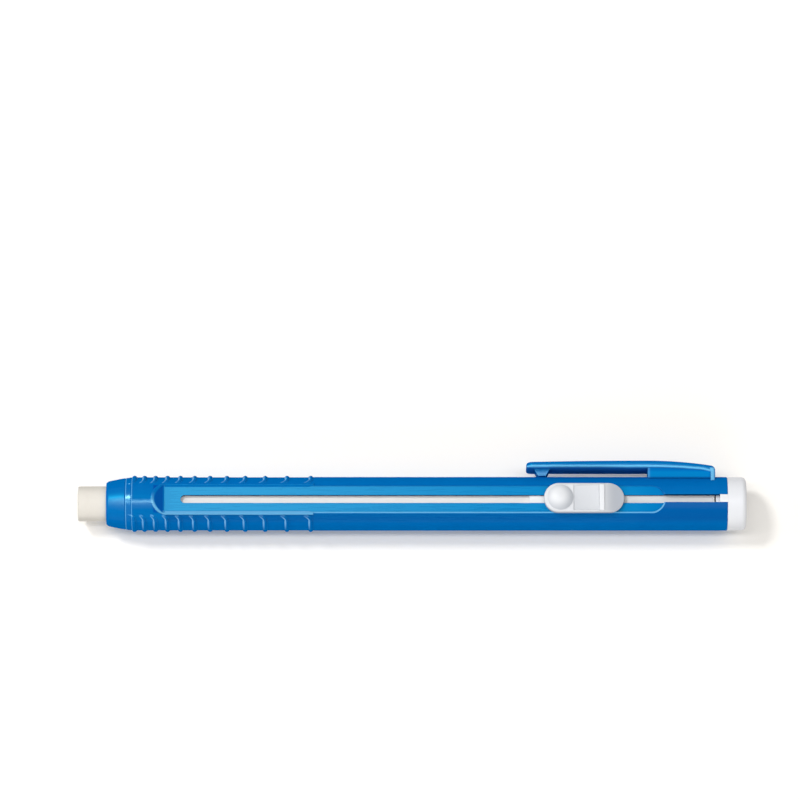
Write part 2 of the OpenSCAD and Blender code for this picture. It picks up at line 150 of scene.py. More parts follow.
def place_camera():
    lens = bpy.data.cameras.new("bench_camera")
    lens.sensor_width = SENSOR
    lens.lens = SENSOR * CAMERA_AWAY_M / (PICTURE_PIXELS * PIXEL_M)
    lens.clip_start = 0.05
    lens.clip_end = 20
    camera = bpy.data.objects.new("bench_camera", lens)
    bpy.context.scene.collection.objects.link(camera)
    turn = Matrix((Vector((1, 0, 0)), UP, BACK)).transposed().to_4x4()
    camera.matrix_world = Matrix.Translation(AIM + BACK * CAMERA_AWAY_M) @ turn
    bpy.context.scene.camera = camera


place_camera()
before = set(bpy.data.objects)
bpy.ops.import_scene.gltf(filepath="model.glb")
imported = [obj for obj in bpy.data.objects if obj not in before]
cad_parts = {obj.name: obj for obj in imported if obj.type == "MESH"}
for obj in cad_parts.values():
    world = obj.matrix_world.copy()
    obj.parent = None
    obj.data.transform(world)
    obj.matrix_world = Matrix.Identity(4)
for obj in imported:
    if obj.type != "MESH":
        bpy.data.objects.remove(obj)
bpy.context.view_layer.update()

# Node helpers


def add_node(tree, kind, values=None, **settings):
    node = tree.nodes.new(kind)
    for key, value in settings.items():
        setattr(node, key, value)
    for key, value in (values or {}).items():
        node.inputs[key].default_value = value
    return node


def start_group(name, inputs, outputs):
    """A node group with float inputs (name: value) and outputs (name: socket type)."""
    group = bpy.data.node_groups.new(name, "ShaderNodeTree")
    for label, value in inputs.items():
        socket = group.interface.new_socket(label, in_out="INPUT", socket_type="NodeSocketFloat")
        socket.default_value = value
    for label, kind in outputs.items():
        group.interface.new_socket(label, in_out="OUTPUT", socket_type="NodeSocket" + kind)
    return group, group.nodes.new("NodeGroupInput"), group.nodes.new("NodeGroupOutput")


def place_group(tree, group, **values):
    """Puts a group in a tree; its inputs are given by name, with _ for a space."""
    node = tree.nodes.new("ShaderNodeGroup")
    node.node_tree = group
    for label, value in values.items():
        node.inputs[label.replace("_", " ")].default_value = value
    return node


def do_math(tree, how, a, b=None, c=None, clamp=False):
    node = tree.nodes.new("ShaderNodeMath")
    node.operation = how
    node.use_clamp = clamp
    for i, value in enumerate((a, b, c)):
        if isinstance(value, (int, float)):
            node.inputs[i].default_value = value
        elif value is not None:
            tree.links.new(value, node.inputs[i])
    return node.outputs[0]


def ramp_between(tree, value, low, high, out_low=0.0, out_high=1.0):
    node = add_node(tree, "ShaderNodeMapRange", {1: low, 2: high, 3: out_low, 4: out_high},
                    interpolation_type="SMOOTHSTEP")
    tree.links.new(value, node.inputs[0])
    return node.outputs[0]


def every(tree, *masks):
    """Product of masks."""
    result = masks[0]
    for mask in masks[1:]:
        result = do_math(tree, "MULTIPLY", result, mask)
    return result


def where(tree, *limits):
    """Product of soft steps, each given as a value, where it is 0 and where it is 1."""
    return every(tree, *(ramp_between(tree, value, off, on) for value, off, on in limits))


def band(tree, value, start, end, soft=0.04):
    """1 between start and end, with soft borders."""
    return where(tree, (value, start - soft, start + soft), (value, end + soft, end - soft))


def in_mm(tree, stretch=(1, 1, 1)):
    """Object coordinates in millimetres."""
    place = add_node(tree, "ShaderNodeTexCoord")
    scale = add_node(tree, "ShaderNodeMapping", {"Scale": [s / MM for s in stretch]})
    tree.links.new(place.outputs["Object"], scale.inputs[0])
    return scale.outputs[0]


def xyz_of(tree, vector):
    split = add_node(tree, "ShaderNodeSeparateXYZ")
    tree.links.new(vector, split.inputs[0])
    return split.outputs


def places_of(tree):
    """x, y and z in mm."""
    return xyz_of(tree, in_mm(tree))


def turns_of(tree):
    """x, y and z of the surface's own normal."""
    return xyz_of(tree, add_node(tree, "ShaderNodeTexCoord").outputs["Normal"])


def turned_away(tree):
    """0 where a surface faces the viewer, and 1 along its outline."""
    return add_node(tree, "ShaderNodeLayerWeight", {"Blend": 0.5}).outputs["Facing"]


def length_of(tree, a, b):
    return do_math(tree, "SQRT", do_math(tree, "ADD", do_math(tree, "MULTIPLY", a, a),
                                         do_math(tree, "MULTIPLY", b, b)))


def noise(tree, vector, scale, detail=2.0, rough=0.5):
    node = add_node(tree, "ShaderNodeTexNoise",
                    {"Scale": scale, "Detail": detail, "Roughness": rough})
    tree.links.new(vector, node.inputs["Vector"])
    return node.outputs["Fac"]


def mix_colour(tree, amount, a, b):
    """Colour a where the amount is 0, and b where it is 1."""
    node = add_node(tree, "ShaderNodeMix", data_type="RGBA", blend_type="MIX")
    for value, socket in ((amount, 0), (a, 6), (b, 7)):
        if isinstance(value, tuple):
            node.inputs[socket].default_value = (*value, 1)
        else:
            tree.links.new(value, node.inputs[socket])
    return node.outputs[2]


def toned(colour, shares):
    return tuple(part * share for part, share in zip(colour, shares))


def bump(tree, height, normal, strength, depth):
    node = add_node(tree, "ShaderNodeBump", {"Strength": strength, "Distance": depth * MM})
    tree.links.new(height, node.inputs["Height"])
    tree.links.new(normal, node.inputs["Normal"])
    return node.outputs[0]


# Shared surface effects


def make_moulding_grain():
    """Fine grain of the mould, flow streaks along the barrel and slow changes of tone."""
    group, given, out = start_group("moulding_grain", {"Grain Scale": 9.0, "Streaks": 0.5},
                                    {"Tone": "Float", "Gloss": "Float", "Height": "Float"})
    place = in_mm(group)
    fine = add_node(group, "ShaderNodeTexNoise", {"Detail": 3.0, "Roughness": 0.6})
    group.links.new(place, fine.inputs["Vector"])
    group.links.new(given.outputs["Grain Scale"], fine.inputs["Scale"])
    slow = noise(group, place, scale=0.28)
    flow = noise(group, in_mm(group, (0.08, 1, 1)), scale=2.6, detail=3.0, rough=0.6)
    streak = do_math(group, "MULTIPLY", do_math(group, "SUBTRACT", flow, 0.5),
                     given.outputs["Streaks"])
    tone = do_math(group, "ADD", slow, streak)
    gloss = do_math(group, "ADD", do_math(group, "MULTIPLY", fine.outputs["Fac"], 0.35),
                    do_math(group, "MULTIPLY", flow, 0.65))
    group.links.new(tone, out.inputs["Tone"])
    group.links.new(gloss, out.inputs["Gloss"])
    group.links.new(fine.outputs["Fac"], out.inputs["Height"])
    return group


def make_hairline_scratches():
    """Sparse hairlines from pockets and pencil cases, in two crossing directions."""
    group, given, out = start_group("hairline_scratches", {"Amount": 0.5}, {"Mask": "Float"})
    lines = []
    for turn, stretch in HAIR_DIRECTIONS:
        place = add_node(group, "ShaderNodeTexCoord")
        spin = add_node(group, "ShaderNodeMapping",
                        {"Rotation": (0.6, 0.2, turn), "Scale": [s / MM for s in stretch]})
        group.links.new(place.outputs["Object"], spin.inputs[0])
        hair = noise(group, spin.outputs[0], scale=1.0, detail=1.0)
        lines.append(ramp_between(group, hair, 0.70, 0.76))
    patch = ramp_between(group, noise(group, in_mm(group), scale=0.5, detail=1.0), 0.45, 0.65)
    both = do_math(group, "MAXIMUM", *lines)
    mask = do_math(group, "MULTIPLY", do_math(group, "MULTIPLY", both, patch),
                   given.outputs["Amount"], clamp=True)
    group.links.new(mask, out.inputs["Mask"])
    return group


def make_soft_edge():
    """Rounds sharp edges in the shading and gives a mask of where they are."""
    group, given, out = start_group("soft_edge", {"Radius": 0.12 * MM},
                                    {"Normal": "Vector", "Mask": "Float"})
    bevel = add_node(group, "ShaderNodeBevel", samples=6)
    group.links.new(given.outputs["Radius"], bevel.inputs["Radius"])
    surface = add_node(group, "ShaderNodeNewGeometry")
    dot = add_node(group, "ShaderNodeVectorMath", operation="DOT_PRODUCT")
    group.links.new(bevel.outputs[0], dot.inputs[0])
    group.links.new(surface.outputs["Normal"], dot.inputs[1])
    mask = ramp_between(group, dot.outputs["Value"], 0.995, 0.85)
    group.links.new(bevel.outputs[0], out.inputs["Normal"])
    group.links.new(mask, out.inputs["Mask"])
    return group


def make_barrel_places():
    """Masks of the barrel's own places, where its painted highlights and painted shade go."""
    labels = ("Floor", "Rim", "Ribs", "Boss", "Boss Front", "Slope", "Rings", "Walls",
              "Lip Shade")
    group, _, out = start_group("barrel_places", {}, dict.fromkeys(labels, "Float"))
    x, y, z = places_of(group)
    turn_x, turn_y, turn_z = turns_of(group)
    radius = length_of(group, y, z)
    side = do_math(group, "ABSOLUTE", y)
    # distance from the middle of the channel, round its rear end too
    past = do_math(group, "MAXIMUM", do_math(group, "SUBTRACT", x, CHANNEL_REAR), 0.0)
    away = length_of(group, past, y)
    behind_slope = ramp_between(group, x, SLOPE_REAR - 0.3, SLOPE_REAR + 0.4)
    # painted highlight on the channel floor
    floor = every(group, band(group, z, FLOOR_Z - 0.05, FLOOR_Z + 0.05, 0.02), behind_slope,
                  ramp_between(group, away, FLOOR_HALF + 0.02, FLOOR_HALF - 0.02))
    # the channel's edge is a rounded step, and a raised lip where the grip is
    in_grip = ramp_between(group, x, LIP_REAR + 0.2, LIP_REAR)
    inner = do_math(group, "SUBTRACT", away,
                    do_math(group, "MULTIPLY_ADD", in_grip, -0.15, RIM_INNER))
    outer = do_math(group, "SUBTRACT", away,
                    do_math(group, "MULTIPLY_ADD", in_grip, -0.03, RIM_OUTER))
    step = where(group, (inner, 0, 0.06), (outer, 0, -0.06), (z, FLOOR_Z + 0.03, FLOOR_Z + 0.09))
    step = every(group, step, behind_slope)
    lip = where(group, (radius, BARREL_R + 0.02, BARREL_R + 0.14),
                (side, LIP_HALF + 0.04, LIP_HALF - 0.04), (z, 3.5, 4.0))
    lip = every(group, lip, band(group, x, LIP_FRONT, LIP_REAR))
    # painted highlight along the channel's edge, on its -y side only
    rim = every(group, do_math(group, "MAXIMUM", step, lip), ramp_between(group, y, 1.5, -1.5))
    # painted highlight on the ribs' sides that face -x
    ribs = where(group, (radius, BARREL_R - 0.02, BARREL_R + 0.04), (turn_x, -0.05, -0.4),
                 (z, 0.2, 3.8), (side, 2.9, 3.1))
    ribs = every(group, ribs, band(group, x, GRIP_FRONT, GRIP_REAR))
    # painted shade on the short slope at the channel's front end
    slope = where(group, (radius, BARREL_R + 0.08, BARREL_R - 0.07), (z, 3.9, 4.2),
                  (side, FLOOR_HALF + 0.3, FLOOR_HALF))
    slope = every(group, slope, band(group, x, SLOPE_FRONT, SLOPE_REAR, 0.2))
    # painted light on the boss, and a painted highlight on its front edge
    boss_start = (x, BOSS_FRONT, BOSS_FRONT + 0.4)
    boss = where(group, boss_start, (turn_z, 0.75, 0.85), (y, 4.5, 5.1), (y, 6.2, 5.6))
    boss_front = where(group, boss_start, (x, BOSS_FRONT + 1.3, BOSS_FRONT + 0.8),
                       (z, 2.85, 3.0), (y, 4.2, 4.5))
    # painted highlight lines at the seam and the ring
    rings = do_math(group, "MAXIMUM", band(group, x, *SEAM_LINE), band(group, x, *RING_LINE))
    # painted shade on the slot's walls
    walls = where(group, (side, SLOT_HALF + 0.02, SLOT_HALF - 0.02), (z, 3.0, 3.4),
                  (do_math(group, "ABSOLUTE", turn_y), 0.5, 0.8))
    lip_shade = where(group, (away, 2.85, 2.95), (side, 4.7, 3.5), (z, 2.2, 2.9),
                      (y, 0.3, -0.3), (x, 16.0, 18.0))
    masks = (floor, rim, ribs, boss, boss_front, slope, rings, walls, lip_shade)
    for label, mask in zip(labels, masks):
        group.links.new(mask, out.inputs[label])
    return group


GRAIN = make_moulding_grain()
HAIRLINES = make_hairline_scratches()
SOFT_EDGE = make_soft_edge()
PLACES = make_barrel_places()

# Materials


def start_finish(name, shader_values):
    material = bpy.data.materials.new(name)
    material.use_nodes = True
    tree = material.node_tree
    tree.nodes.clear()
    shader = add_node(tree, "ShaderNodeBsdfPrincipled", shader_values)
    out = add_node(tree, "ShaderNodeOutputMaterial")
    tree.links.new(shader.outputs[0], out.inputs["Surface"])
    return material, tree, shader


def paint_barrel_light_and_shade(tree, colour):
    """Painted highlights on the channel floor, rim, ribs, boss and rings; painted shade under the
    lip, on the slope and on the slot walls.
    """
    place = place_group(tree, PLACES)
    shade = do_math(tree, "MULTIPLY", place.outputs["Lip Shade"], LIP_DARKER)
    colour = mix_colour(tree, shade, colour, LIP_SHADE)
    floor = mix_colour(tree, ramp_between(tree, places_of(tree)[0], *FLOOR_DARKENS),
                       FLOOR_LIT_AT_FRONT, FLOOR_LIT_AT_REAR)
    colour = mix_colour(tree, place.outputs["Floor"], colour, floor)
    for label, tone in BARREL_PAINTED_LIGHT_AND_SHADE.items():
        colour = mix_colour(tree, place.outputs[label], colour, tone)
    return colour


def paint_clip_light(tree, colour):
    """Painted light on the clip's underside, and painted highlights on the rounded edge above it
    and on its heel.
    """
    _, turn_y, turn_z = turns_of(tree)
    x, y, z = places_of(tree)
    under = ramp_between(tree, turn_y, -0.7, -0.95)
    colour = mix_colour(tree, under, colour, CLIP_UNDERSIDE_LIGHT)
    edge = where(tree, (turn_z, 0.05, 0.3), (turn_y, -0.15, -0.45))
    near = every(tree, under, ramp_between(tree, z, *LIT_STRIP, 0.0, 0.9))
    colour = mix_colour(tree, do_math(tree, "MAXIMUM", edge, near), colour, CLIP_EDGE_HIGHLIGHT)
    heel_front = CLIP_REAR - HEEL_T
    heel = where(tree, (x, heel_front - 0.3, heel_front), (x, CLIP_REAR, CLIP_REAR - 0.4),
                 (z, CLIP_HALF - 0.5, CLIP_HALF - 0.2), (y, 6.6, 6.3))
    return mix_colour(tree, heel, colour, CLIP_HEEL_HIGHLIGHT)


def gloss_barrel(tree, rough, level, tint):
    """Glossiest at the front end, more matt at the rear, and little tinted at the rings."""
    x = places_of(tree)[0]
    rough = do_math(tree, "ADD", rough, ramp_between(tree, x, *FRONT_DULLS, -0.07, 0.0))
    rough = do_math(tree, "ADD", rough, ramp_between(tree, x, *REAR_DULLS, 0.0, 0.3))
    level = every(tree, level, ramp_between(tree, x, *REAR_GLOSS_FADES, 1.0, 0.3))
    tint = every(tree, tint, ramp_between(tree, x, *RINGS_TINT, 0.3, 1.0))
    return rough, level, tint


def make_blue(name, own_tones=None, own_gloss=None, rough_range=(0.24, 0.34), tint_end=0.028):
    """Glossy blue moulding.

    Its gloss fades and turns blue where a surface turns away from the viewer.
    """
    material, tree, shader = start_finish(name, {})
    grain = place_group(tree, GRAIN, Grain_Scale=11.0, Streaks=0.4)
    hair = place_group(tree, HAIRLINES, Amount=0.5).outputs["Mask"]
    edge = place_group(tree, SOFT_EDGE, Radius=0.11 * MM)
    colour = mix_colour(tree, grain.outputs["Tone"], BLUE_LOW, BLUE_HIGH)
    if own_tones:
        colour = own_tones(tree, colour)
    # paler sharp edges: wear, and a painted edge highlight
    worn_and_lit_edge = do_math(tree, "MULTIPLY", edge.outputs["Mask"], EDGE_PALER)
    colour = mix_colour(tree, worn_and_lit_edge, colour, BLUE_WORN_LIT_EDGE)
    scratched = do_math(tree, "MULTIPLY", hair, SCRATCH_PALER)
    colour = mix_colour(tree, scratched, colour, BLUE_SCRATCH)
    rough = ramp_between(tree, grain.outputs["Gloss"], *NOISE_RANGE, *rough_range)
    rough = do_math(tree, "ADD", rough, do_math(tree, "MULTIPLY", hair, SCRATCH_DULLER))
    turned = turned_away(tree)
    level = ramp_between(tree, turned, 0.0, GLOSS_GONE, 1.0, 0.0)
    tint = ramp_between(tree, turned, 0.0, tint_end)
    if own_gloss:
        rough, level, tint = own_gloss(tree, rough, level, tint)
    height = do_math(tree, "SUBTRACT", grain.outputs["Height"],
                     do_math(tree, "MULTIPLY", hair, SCRATCH_DEPTH))
    tree.links.new(colour, shader.inputs["Base Color"])
    tree.links.new(rough, shader.inputs["Roughness"])
    tree.links.new(level, shader.inputs["Specular IOR Level"])
    tree.links.new(mix_colour(tree, tint, GLOSS_TINT, GLOSS_TINT_TURNED),
                   shader.inputs["Specular Tint"])
    tree.links.new(bump(tree, height, edge.outputs["Normal"], strength=0.2, depth=0.005),
                   shader.inputs["Normal"])
    return material


def paint_button_shade(tree, colour):
    """Painted shade: greyer low down, and at the dome's foot on the side away from the window."""
    x, y, z = places_of(tree)
    from_crest = length_of(tree, do_math(tree, "SUBTRACT", x, DOME_CREST_X),
                           do_math(tree, "SUBTRACT", y, DOME_CREST_Y))
    foot = where(tree, (from_crest, *DOME_GREYS), (x, HOLLOW_FRONT + 0.1, HOLLOW_FRONT - 0.1),
                 (z, *DOME_FOOT_Z))
    grey = do_math(tree, "MAXIMUM", ramp_between(tree, z, *BUTTON_GREYS),
                   do_math(tree, "MULTIPLY", foot, DOME_FOOT_SHADE))
    return mix_colour(tree, grey, colour, toned(BUTTON_LOW, BUTTON_GREY))


def paint_tail_shade(tree, colour):
    """Painted shade on the tail behind the button, where it lies in the barrel's shade."""
    behind = ramp_between(tree, places_of(tree)[0], *TAIL_GREYS, 0.0, 0.5)
    return mix_colour(tree, behind, colour, toned(CARRIAGE_LOW, TAIL_GREY))


def make_white(name, low, high, rough_range, grain_scale, edge_radius=0.12, outline_shade=0.35,
               own_tones=None):
    """White moulded plastic with a faint grain, and painted shade where it turns away from the
    viewer.
    """
    material, tree, shader = start_finish(name, {"Specular IOR Level": 0.4})
    grain = place_group(tree, GRAIN, Grain_Scale=grain_scale, Streaks=0.3)
    hair = place_group(tree, HAIRLINES, Amount=0.4).outputs["Mask"]
    edge = place_group(tree, SOFT_EDGE, Radius=edge_radius * MM)
    colour = mix_colour(tree, grain.outputs["Tone"], low, high)
    scratched = do_math(tree, "MULTIPLY", hair, WHITE_SCRATCH)
    colour = mix_colour(tree, scratched, colour, toned(low, SCRATCHED))
    # painted shade towards the outline
    turned = ramp_between(tree, turned_away(tree), 0.15, 0.65, 0.0, outline_shade)
    colour = mix_colour(tree, turned, colour, toned(low, TURNED))
    if own_tones:
        colour = own_tones(tree, colour)
    tree.links.new(colour, shader.inputs["Base Color"])
    tree.links.new(ramp_between(tree, grain.outputs["Gloss"], *NOISE_RANGE, *rough_range),
                   shader.inputs["Roughness"])
    surface = bump(tree, grain.outputs["Height"], edge.outputs["Normal"], strength=0.2, depth=0.008)
    tree.links.new(surface, shader.inputs["Normal"])
    return material


def make_vinyl():
    """Matt eraser vinyl: yellowed and dusty outside the barrel; inside it cleaner, and lighter as
    painted light against the slot's shade; painted shade towards its outline.
    """
    material, tree, shader = start_finish("eraser_vinyl", {"Specular IOR Level": 0.25})
    x = places_of(tree)[0]
    edge = place_group(tree, SOFT_EDGE, Radius=0.2 * MM)
    crumb = noise(tree, in_mm(tree), scale=7.0, detail=4.0, rough=0.65)
    cloud = noise(tree, in_mm(tree), scale=0.9, detail=3.0)
    colour = mix_colour(tree, ramp_between(tree, x, *STICK_CLEANS_AND_LIGHTENS),
                        mix_colour(tree, cloud, WORN_LOW, WORN_HIGH),
                        mix_colour(tree, cloud, CLEAN_AND_LIT_LOW, CLEAN_AND_LIT_HIGH))
    rub = where(tree, (x, 0.5, 0.0), (crumb, 0.45, 0.65))
    colour = mix_colour(tree, do_math(tree, "MULTIPLY", rub, 0.3), colour, RUBBED)
    # painted shade towards the outline
    turned = ramp_between(tree, turned_away(tree), 0.12, 0.65, 0.0, 0.6)
    colour = mix_colour(tree, turned, colour, VINYL_OUTLINE_SHADE)
    tree.links.new(colour, shader.inputs["Base Color"])
    tree.links.new(ramp_between(tree, crumb, *NOISE_RANGE, 0.62, 0.8), shader.inputs["Roughness"])
    tree.links.new(bump(tree, crumb, edge.outputs["Normal"], strength=0.35, depth=0.02),
                   shader.inputs["Normal"])
    return material


blue_clip = make_blue("blue_clip", paint_clip_light)
button_white = make_white("button_white", BUTTON_LOW, BUTTON_HIGH, rough_range=(0.34, 0.46),
                          grain_scale=14.0, edge_radius=0.18, outline_shade=0.3,
                          own_tones=paint_button_shade)
FINISHES = {
    "barrel": make_blue("blue_barrel", paint_barrel_light_and_shade, gloss_barrel),
    "nose_cone": make_blue("blue_moulding", rough_range=(0.33, 0.42), tint_end=0.075),
    "clip_base": blue_clip,
    "clip_arm": blue_clip,
    "end_cap": make_white("cap_white", CAP_LOW, CAP_HIGH, rough_range=(0.28, 0.38),
                          grain_scale=12.0),
    "thumb_button": button_white,
    "eraser_carriage": make_white("carriage_white", CARRIAGE_LOW, CARRIAGE_HIGH,
                                  rough_range=(0.4, 0.5), grain_scale=10.0,
                                  own_tones=paint_tail_shade),
    "eraser_stick": make_vinyl()}

for node_name, finish in FINISHES.items():
    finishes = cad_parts[node_name].data.materials
    finishes.clear()
    finishes.append(finish)

# Modelling helpers


def only(piece):
    """Selects this piece and no other."""
    bpy.ops.object.select_all(action="DESELECT")
    piece.select_set(True)
    bpy.context.view_layer.objects.active = piece


def start_edit(piece):
    only(piece)
    bpy.ops.object.mode_set(mode="EDIT")
    bpy.ops.mesh.select_all(action="DESELECT")


def end_edit():
    bpy.ops.object.mode_set(mode="OBJECT")


def pick(piece, kind, test):
    """Selects the verts or edges that pass the test, which is given the ends' places in mm."""
    bpy.ops.mesh.select_mode(type={"verts": "VERT", "edges": "EDGE"}[kind])
    bpy.ops.mesh.select_all(action="DESELECT")
    mesh = bmesh.from_edit_mesh(piece.data)
    for part in getattr(mesh, kind):
        ends = (part,) if kind == "verts" else part.verts
        part.select = bool(test(*(end.co / MM for end in ends)))
    mesh.select_flush_mode()
    bmesh.update_edit_mesh(piece.data)


def slice_along_x(places):
    """Cuts the mesh across at each x, and keeps all of it."""
    for place in places:
        bpy.ops.mesh.select_all(action="SELECT")
        bpy.ops.mesh.bisect(plane_co=Vector((place, 0, 0)) * MM, plane_no=(1, 0, 0))


def push(x=0, y=0):
    """Moves what is selected, by mm."""
    bpy.ops.transform.translate(value=(x * MM, y * MM, 0))


def settle(piece, name):
    """Names a new piece and makes its place, turn and size its mesh's own."""
    piece.name = name
    piece.data.name = name
    only(piece)
    bpy.ops.object.transform_apply(location=True, rotation=True, scale=True)
    return piece


def block(name, low, high):
    low, high = Vector(low), Vector(high)
    bpy.ops.object.select_all(action="DESELECT")
    bpy.ops.mesh.primitive_cube_add(size=1, location=(high + low) / 2 * MM)
    piece = bpy.context.object
    piece.scale = (high - low) * MM
    return settle(piece, name)


def rod(name, radius, start, end, axis="X", sides=96):
    start, end = Vector(start), Vector(end)
    bpy.ops.object.select_all(action="DESELECT")
    turn = {"X": (0, math.pi / 2, 0), "Y": (math.pi / 2, 0, 0), "Z": (0, 0, math.pi / sides)}[axis]
    bpy.ops.mesh.primitive_cylinder_add(vertices=sides, radius=radius * MM,
                                        depth=(end - start).length * MM,
                                        location=(start + end) / 2 * MM, rotation=turn)
    return settle(bpy.context.object, name)


def combine(piece, tool, how):
    """Joins the tool to the piece or cuts it out, and takes the tool away."""
    only(piece)
    step = piece.modifiers.new("combine", "BOOLEAN")
    step.operation = how
    step.solver = "EXACT"
    step.object = tool
    bpy.ops.object.modifier_apply(modifier=step.name)
    bpy.data.objects.remove(tool)


def close_gaps(piece):
    """Welds points that nearly meet, and fills slivers that a join or cut left open."""
    start_edit(piece)
    bpy.ops.mesh.select_all(action="SELECT")
    bpy.ops.mesh.remove_doubles(threshold=WELD * MM)
    bpy.ops.mesh.select_all(action="SELECT")
    bpy.ops.mesh.fill_holes(sides=4)
    end_edit()


def smooth(piece, degrees):
    only(piece)
    bpy.ops.object.shade_smooth_by_angle(angle=math.radians(degrees))


def round_off(piece, radius, steps, is_face):
    """Rounds the sharp outer border of the faces that the test picks."""
    start_edit(piece)
    bpy.ops.mesh.select_mode(type="EDGE")
    bpy.ops.mesh.select_all(action="DESELECT")
    mesh = bmesh.from_edit_mesh(piece.data)
    for edge in mesh.edges:
        if len(edge.link_faces) == 2:
            a, b = edge.link_faces
            sharp = edge.is_convex and edge.calc_face_angle() > SHARP
            edge.select = sharp and is_face(a) != is_face(b)
    mesh.select_flush_mode()
    bmesh.update_edit_mesh(piece.data)
    bpy.ops.mesh.bevel(offset=radius * MM, segments=steps, affect="EDGES", clamp_overlap=True)
    end_edit()


# Pocket clip: one moulding with a fixed rear part, a long springy arm and a pip near its front end


def clip_drop(x):
    """How far the clip's outer face and its underside lie below their highest lines."""
    if x > CLIP_HINGE:
        share = ((x - CLIP_HINGE) / (CLIP_REAR - CLIP_HINGE)) ** 2
        return REAR_DROP * share, REAR_UNDER_DROP * share
    return FRONT_DROP * ((CLIP_HINGE - x) / (CLIP_HINGE - CLIP_FRONT)) ** 2, 0


def model_clip():
    clip = block("pocket_clip", (CLIP_FRONT, CLIP_UNDER, -CLIP_HALF),
                 (CLIP_REAR, CLIP_TOP, CLIP_HALF))
    start_edit(clip)
    # front corners round in plan, and the round corner where the clip turns down at its rear end
    pick(clip, "edges", lambda a, b: (max(a.x, b.x) < CLIP_FRONT + NEARBY
                                      and abs(a.z - b.z) < NEARBY))
    bpy.ops.mesh.bevel(offset=CLIP_CORNER * MM, segments=6, affect="EDGES")
    pick(clip, "edges", lambda a, b: (min(a.x, b.x) > CLIP_REAR - NEARBY
                                      and min(a.y, b.y) > CLIP_TOP - NEARBY))
    bpy.ops.mesh.bevel(offset=CLIP_BEND * MM, segments=6, affect="EDGES")
    end_edit()
    round_off(clip, CLIP_TOP_ROUND, 5, lambda face: face.normal.y > 0.2 or face.normal.x > 0.9)
    round_off(clip, CLIP_UNDER_ROUND, 4, lambda face: face.normal.y < -0.9)
    # cuts across its length, which follow the long soft curve of the outer face and underside
    start_edit(clip)
    slice_along_x([CLIP_FRONT + CURVE_START + CURVE_STEP * i for i in range(CURVE_CUTS)])
    end_edit()
    places = sorted({round(v.co.x / MM, 3) for v in clip.data.vertices})
    start_edit(clip)
    for x in places:
        top, under = clip_drop(x)
        if x > CLIP_REAR - HEEL_T:
            under = top
        if under:
            pick(clip, "verts", lambda v: abs(v.x - x) < SAME_PLACE and v.y < CLIP_MIDDLE)
            push(y=-under)
        pick(clip, "verts", lambda v: abs(v.x - x) < SAME_PLACE and v.y > CLIP_MIDDLE)
        push(y=-top)
    end_edit()
    pip = block("pip", (PIP_TOP_FRONT, PIP_FOOT, -PIP_HALF),
                (PIP_TOP_REAR, CLIP_UNDER + PIP_ROOT, PIP_HALF))
    start_edit(pip)
    for x, shift in ((PIP_TOP_FRONT, PIP_SLANT), (PIP_TOP_REAR, -PIP_SLANT)):
        pick(pip, "verts", lambda v: v.y < PIP_FOOT + NEARBY and abs(v.x - x) < NEARBY)
        push(x=shift)
    end_edit()
    round_off(pip, PIP_ROUND, 3, lambda face: face.normal.y < -0.9)
    combine(clip, pip, "UNION")
    heel = block("heel", (CLIP_REAR - HEEL_T, HEEL_LOW, -CLIP_HALF + HEEL_INSET),
                 (CLIP_REAR - HEEL_INSET, HEEL_HIGH, CLIP_HALF - HEEL_INSET))
    round_off(heel, HEEL_ROUND, 4, lambda face: face.normal.x > 0.9)
    combine(clip, heel, "UNION")
    seat = rod("seat", BARREL_R + 0.02, (CLIP_HINGE, 0, 0), (PAST_REAR, 0, 0))
    combine(clip, seat, "DIFFERENCE")
    close_gaps(clip)
    smooth(clip, 40)
    clip.data.materials.append(blue_clip)
    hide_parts("clip_base", "clip_arm")
    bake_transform(clip)


model_clip()

# Thumb button: round-ended plate with a dome, a hollow, a crossbar and a ramp behind it


def round_plate(name, half, low, high, sides=64):
    """Plate with round ends of the given half width, in line with the button's own ends."""
    front = BUTTON_FRONT + BUTTON_HALF
    plate = rod(name, half / math.cos(math.pi / sides), (front, 0, low), (front, 0, high), "Z",
                sides)
    start_edit(plate)
    pick(plate, "verts", lambda v: v.x > front)
    push(x=BUTTON_REAR - BUTTON_FRONT - 2 * BUTTON_HALF)
    end_edit()
    return plate


def make_ramp_cut():
    """What is cut away behind the crossbar to leave a hollow-backed ramp."""
    run, fall = BUTTON_REAR - BAR_REAR, RAMP_START_Z - RAMP_END_Z
    span = math.hypot(run, fall)
    ramp_r = span ** 2 / 8 / RAMP_SAG + RAMP_SAG / 2
    rise = (ramp_r - RAMP_SAG) / span
    centre_x = BAR_REAR + run / 2 + fall * rise
    centre_z = (RAMP_START_Z + RAMP_END_Z) / 2 + run * rise
    cut = rod("ramp_cut", ramp_r, (centre_x, -CUT_HALF, centre_z),
              (centre_x, CUT_HALF, centre_z), "Y", 192)
    behind_bar = block("behind_bar", (BAR_REAR, -CUT_HALF - 1, CUT_LOW),
                       (BUTTON_REAR + 6, CUT_HALF + 1, CUT_HIGH))
    combine(cut, behind_bar, "INTERSECT")
    return cut


def make_dome():
    ball_r = (DOME_R ** 2 + DOME_H ** 2) / (2 * DOME_H)
    bpy.ops.object.select_all(action="DESELECT")
    centre = Vector((DOME_X, 0, BUTTON_TOP + DOME_H - ball_r))
    bpy.ops.mesh.primitive_uv_sphere_add(segments=96, ring_count=64, radius=ball_r * MM,
                                         location=centre * MM)
    dome = settle(bpy.context.object, "dome")
    limit = rod("dome_limit", DOME_R + 0.65, (DOME_X, 0, BUTTON_TOP - DOME_SINK),
                (DOME_X, 0, CUT_HIGH), "Z")
    combine(dome, limit, "INTERSECT")
    return dome


